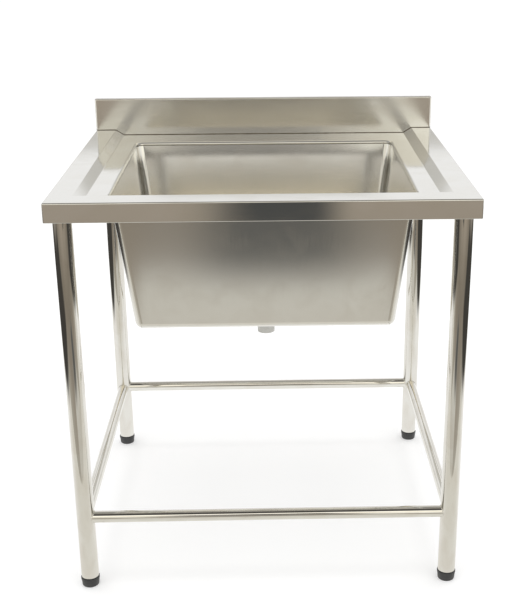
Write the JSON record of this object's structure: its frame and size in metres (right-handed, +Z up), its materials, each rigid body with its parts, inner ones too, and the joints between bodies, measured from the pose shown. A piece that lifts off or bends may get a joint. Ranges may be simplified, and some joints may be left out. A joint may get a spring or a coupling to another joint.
{
  "type": "utility laundry sink",
  "caption": "Free-standing stainless laundry sink: deep tapered bowl, stepped deck with splashback, tube legs with rails, levelling feet and a basket strainer waste.",
  "frame": {"origin": "on the floor, under the middle of the worktop", "axes": "+Z up, +Y towards the splashback and the wall, +X to the right seen from the front"},
  "size_m": [0.85, 0.75, 0.95],
  "materials": {
    "sheet_steel": "brushed stainless sheet, satin",
    "channel_steel": "mill finish stainless",
    "tube_steel": "polished stainless tube",
    "screw_steel": "bright zinc plate",
    "foot_plastic": "moulded black nylon",
    "insert_plastic": "moulded black nylon",
    "seal_rubber": "soft black rubber",
    "waste_steel": "polished stainless pressing",
    "waste_plastic": "pale grey moulded polypropylene",
    "nut_plastic": "pale grey moulded polypropylene"
  },
  "bodies": {
    "frame": {"deck": "sheet_steel", "splashback": "sheet_steel", "bowl": "sheet_steel", "side_channel_left": "channel_steel", "side_channel_right": "channel_steel", "front_channel": "channel_steel", "rear_channel": "channel_steel", "leg_socket_front_left": "channel_steel", "leg_socket_front_right": "channel_steel", "leg_socket_rear_left": "channel_steel", "leg_socket_rear_right": "channel_steel", "leg_front_left": "tube_steel", "leg_front_right": "tube_steel", "leg_rear_left": "tube_steel", "leg_rear_right": "tube_steel", "rail_front": "tube_steel", "rail_rear": "tube_steel", "rail_left": "tube_steel", "rail_right": "tube_steel", "grub_screws": "screw_steel", "foot_insert_front_left": "insert_plastic", "foot_insert_front_right": "insert_plastic", "foot_insert_rear_left": "insert_plastic", "foot_insert_rear_right": "insert_plastic", "waste_upper_seal": "seal_rubber", "waste_lower_seal": "seal_rubber", "tail_washer": "seal_rubber", "waste_body": "waste_steel", "tailpiece": "waste_plastic", "waste_backnut": "nut_plastic", "tail_nut": "nut_plastic", "waste_slip_ring": "nut_plastic"},
    "strainer": {"strainer_basket": "waste_steel", "basket_stopper": "seal_rubber", "basket_knob": "waste_steel"},
    "foot_base_front_left": {"foot_pad_front_left": "foot_plastic"},
    "foot_screw_front_left": {"foot_stud_front_left": "screw_steel", "foot_ring_front_left": "foot_plastic"},
    "foot_base_front_right": {"foot_pad_front_right": "foot_plastic"},
    "foot_screw_front_right": {"foot_stud_front_right": "screw_steel", "foot_ring_front_right": "foot_plastic"},
    "foot_base_rear_left": {"foot_pad_rear_left": "foot_plastic"},
    "foot_screw_rear_left": {"foot_stud_rear_left": "screw_steel", "foot_ring_rear_left": "foot_plastic"},
    "foot_base_rear_right": {"foot_pad_rear_right": "foot_plastic"},
    "foot_screw_rear_right": {"foot_stud_rear_right": "screw_steel", "foot_ring_rear_right": "foot_plastic"}
  },
  "joints": [
    {"name": "foot_front_left_raise", "type": "slide", "parent": "frame", "child": "foot_base_front_left", "axis": [0, 0, -1], "range_m": [0, 0.02]},
    {"name": "foot_front_left_turn", "type": "hinge", "parent": "foot_base_front_left", "child": "foot_screw_front_left", "pos_m": [-0.39355, -0.34355, 0.0152], "axis": [0, 0, -1], "range_deg": [0, 4801]},
    {"name": "foot_front_right_raise", "type": "slide", "parent": "frame", "child": "foot_base_front_right", "axis": [0, 0, -1], "range_m": [0, 0.02]},
    {"name": "foot_front_right_turn", "type": "hinge", "parent": "foot_base_front_right", "child": "foot_screw_front_right", "pos_m": [0.39355, -0.34355, 0.0152], "axis": [0, 0, -1], "range_deg": [0, 4801]},
    {"name": "foot_rear_left_raise", "type": "slide", "parent": "frame", "child": "foot_base_rear_left", "axis": [0, 0, -1], "range_m": [0, 0.02]},
    {"name": "foot_rear_left_turn", "type": "hinge", "parent": "foot_base_rear_left", "child": "foot_screw_rear_left", "pos_m": [-0.39355, 0.34355, 0.0152], "axis": [0, 0, -1], "range_deg": [0, 4801]},
    {"name": "foot_rear_right_raise", "type": "slide", "parent": "frame", "child": "foot_base_rear_right", "axis": [0, 0, -1], "range_m": [0, 0.02]},
    {"name": "foot_rear_right_turn", "type": "hinge", "parent": "foot_base_rear_right", "child": "foot_screw_rear_right", "pos_m": [0.39355, 0.34355, 0.0152], "axis": [0, 0, -1], "range_deg": [0, 4801]},
    {"name": "strainer_lift", "type": "slide", "parent": "frame", "child": "strainer", "axis": [0, 0, 1], "range_m": [0, 0.06]}
  ],
  "couplings": [
    {"joint": "foot_front_left_turn", "follows": "foot_front_left_raise", "rad_per_m": 4188.8},
    {"joint": "foot_front_right_turn", "follows": "foot_front_right_raise", "rad_per_m": 4188.8},
    {"joint": "foot_rear_left_turn", "follows": "foot_rear_left_raise", "rad_per_m": 4188.8},
    {"joint": "foot_rear_right_turn", "follows": "foot_rear_right_raise", "rad_per_m": 4188.8}
  ]
}
